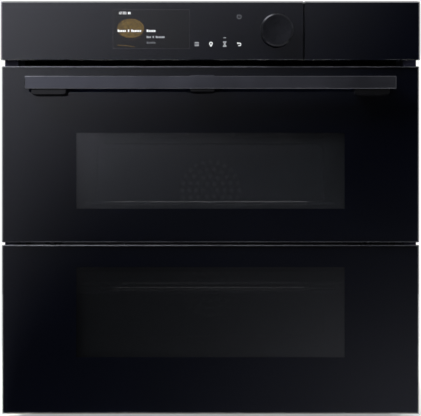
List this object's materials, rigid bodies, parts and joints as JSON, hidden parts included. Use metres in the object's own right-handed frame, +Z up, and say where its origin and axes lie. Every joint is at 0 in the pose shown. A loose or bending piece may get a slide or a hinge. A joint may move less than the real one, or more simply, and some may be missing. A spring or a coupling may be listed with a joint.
{
  "type": "built-in oven",
  "caption": "Built-in wall oven with a black glass door that folds at mid height, a wide bar handle, a dial and screen panel, and a pull-out water drawer.",
  "frame": {"origin": "centre of the box around the whole oven, on the plane of the two skids that its base rests on", "axes": "+Z up; the front with the door and the control panel faces -Y; +X is to the right as seen from the front"},
  "size_m": [0.595, 0.614, 0.59],
  "materials": {
    "galvanised_steel": "dull zinc",
    "enamel": "satin vitreous enamel",
    "blue_grey_paint": "satin powder coat",
    "wool": "loose glass wool",
    "black_glass": "polished, dark tint and black print",
    "clear_glass": "polished",
    "chrome_wire": "polished",
    "steel": "brushed",
    "dark_anodised": "dark anodised, fine brushed",
    "black_plastic": "fine moulded grain",
    "clear_plastic": "clear moulded",
    "gasket_rubber": "silicone over glass braid",
    "display": "dark screen",
    "board_green": "circuit board",
    "heater_tube": "oxidised sheath",
    "cast_aluminium": "as cast"
  },
  "bodies": {
    "oven": {"base_tray": "galvanised_steel", "side_panel_left": "galvanised_steel", "side_panel_right": "galvanised_steel", "rear_panel": "galvanised_steel", "top_cover": "galvanised_steel", "side_rails": "blue_grey_paint", "case_screws": "steel", "cavity_front_plate": "enamel", "cavity_wrap": "enamel", "cavity_back_wall": "enamel", "cavity_insulation": "wool", "door_gasket": "gasket_rubber", "lamp_lenses": "clear_glass", "rear_baffle": "enamel", "grill_heater": "heater_tube", "ring_heaters": "heater_tube", "bottom_heater": "heater_tube", "shelf_runners": "chrome_wire", "fan_motors": "steel", "blower_housing": "black_plastic", "air_duct": "galvanised_steel", "vent_grille": "black_plastic", "main_board": "board_green", "terminal_block": "black_plastic", "steam_generator": "cast_aluminium", "control_panel_glass": "black_glass", "control_panel_housing": "black_plastic", "display_module": "display", "dial_encoder": "black_plastic", "hinge_arms": "steel", "hinge_receivers": "galvanised_steel"},
    "lower_door": {"lower_door_glass": "black_glass", "lower_door_stiles": "dark_anodised", "lower_door_bottom_rail": "dark_anodised", "lower_door_top_rail": "dark_anodised", "lower_door_panes": "clear_glass", "door_hinge_pins": "steel", "flap_hinge_arms": "steel"},
    "upper_door": {"upper_door_glass": "black_glass", "upper_door_stiles": "dark_anodised", "upper_door_bottom_rail": "dark_anodised", "upper_door_top_rail": "dark_anodised", "upper_door_panes": "clear_glass", "flap_hinge_pins": "steel", "handle_bar": "dark_anodised", "handle_posts": "dark_anodised"},
    "release_lever": {"handle_lever": "dark_anodised"},
    "latches": {"latch_bolts": "steel"},
    "convection_fan_upper": {"fan_upper": "steel"},
    "convection_fan_lower": {"fan_lower": "steel"},
    "cooling_fan": {"cooling_impeller": "black_plastic"},
    "dial_sleeve": {"encoder_plunger": "black_plastic"},
    "dial": {"dial_knob": "dark_anodised"},
    "water_drawer": {"drawer_front_glass": "black_glass", "drawer_carrier": "black_plastic", "water_tank": "clear_plastic"},
    "divider_plate": {"divider": "enamel"},
    "tray": {"baking_tray": "enamel", "tray_insert": "chrome_wire"},
    "rack": {"wire_rack": "chrome_wire"}
  },
  "joints": [
    {"name": "door_hinge", "type": "hinge", "parent": "oven", "child": "lower_door", "pos_m": [0, -0.2545, 0.0125], "axis": [1, 0, 0], "range_deg": [0, 90]},
    {"name": "upper_door_hinge", "type": "hinge", "parent": "lower_door", "child": "upper_door", "pos_m": [0, -0.2545, 0.2565], "axis": [1, 0, 0], "range_deg": [0, 90]},
    {"name": "lever_press", "type": "slide", "parent": "upper_door", "child": "release_lever", "axis": [0, 0, -1], "range_m": [0, 0.0012], "stiffness_N_per_m": 2000},
    {"name": "latch_slide", "type": "slide", "parent": "upper_door", "child": "latches", "axis": [0, 0, 1], "range_m": [0, 0.0096]},
    {"name": "fan_upper_spin", "type": "hinge", "parent": "oven", "child": "convection_fan_upper", "pos_m": [0, 0.19, 0.32525], "axis": [0, 1, 0], "continuous": true},
    {"name": "fan_lower_spin", "type": "hinge", "parent": "oven", "child": "convection_fan_lower", "pos_m": [0, 0.19, 0.16925], "axis": [0, 1, 0], "continuous": true},
    {"name": "cooling_fan_spin", "type": "hinge", "parent": "oven", "child": "cooling_fan", "pos_m": [-0.05, 0.11, 0.5], "axis": [0, 0, 1], "continuous": true},
    {"name": "dial_press", "type": "slide", "parent": "oven", "child": "dial_sleeve", "axis": [0, 1, 0], "range_m": [0, 0.0012], "stiffness_N_per_m": 2000},
    {"name": "dial_turn", "type": "hinge", "parent": "dial_sleeve", "child": "dial", "pos_m": [0.094, -0.27, 0.54825], "axis": [0, 1, 0], "continuous": true},
    {"name": "water_drawer_slide", "type": "slide", "parent": "oven", "child": "water_drawer", "axis": [0, -1, 0], "range_m": [0, 0.2]},
    {"name": "divider_slide", "type": "slide", "parent": "oven", "child": "divider_plate", "axis": [0, -1, 0], "range_m": [0, 0.006]},
    {"name": "tray_slide", "type": "slide", "parent": "oven", "child": "tray", "axis": [0, -1, 0], "range_m": [0, 0.02]},
    {"name": "rack_slide", "type": "slide", "parent": "oven", "child": "rack", "axis": [0, -1, 0], "range_m": [0, 0.02]}
  ],
  "couplings": [
    {"joint": "latch_slide", "follows": "lever_press", "ratio": 8}
  ]
}
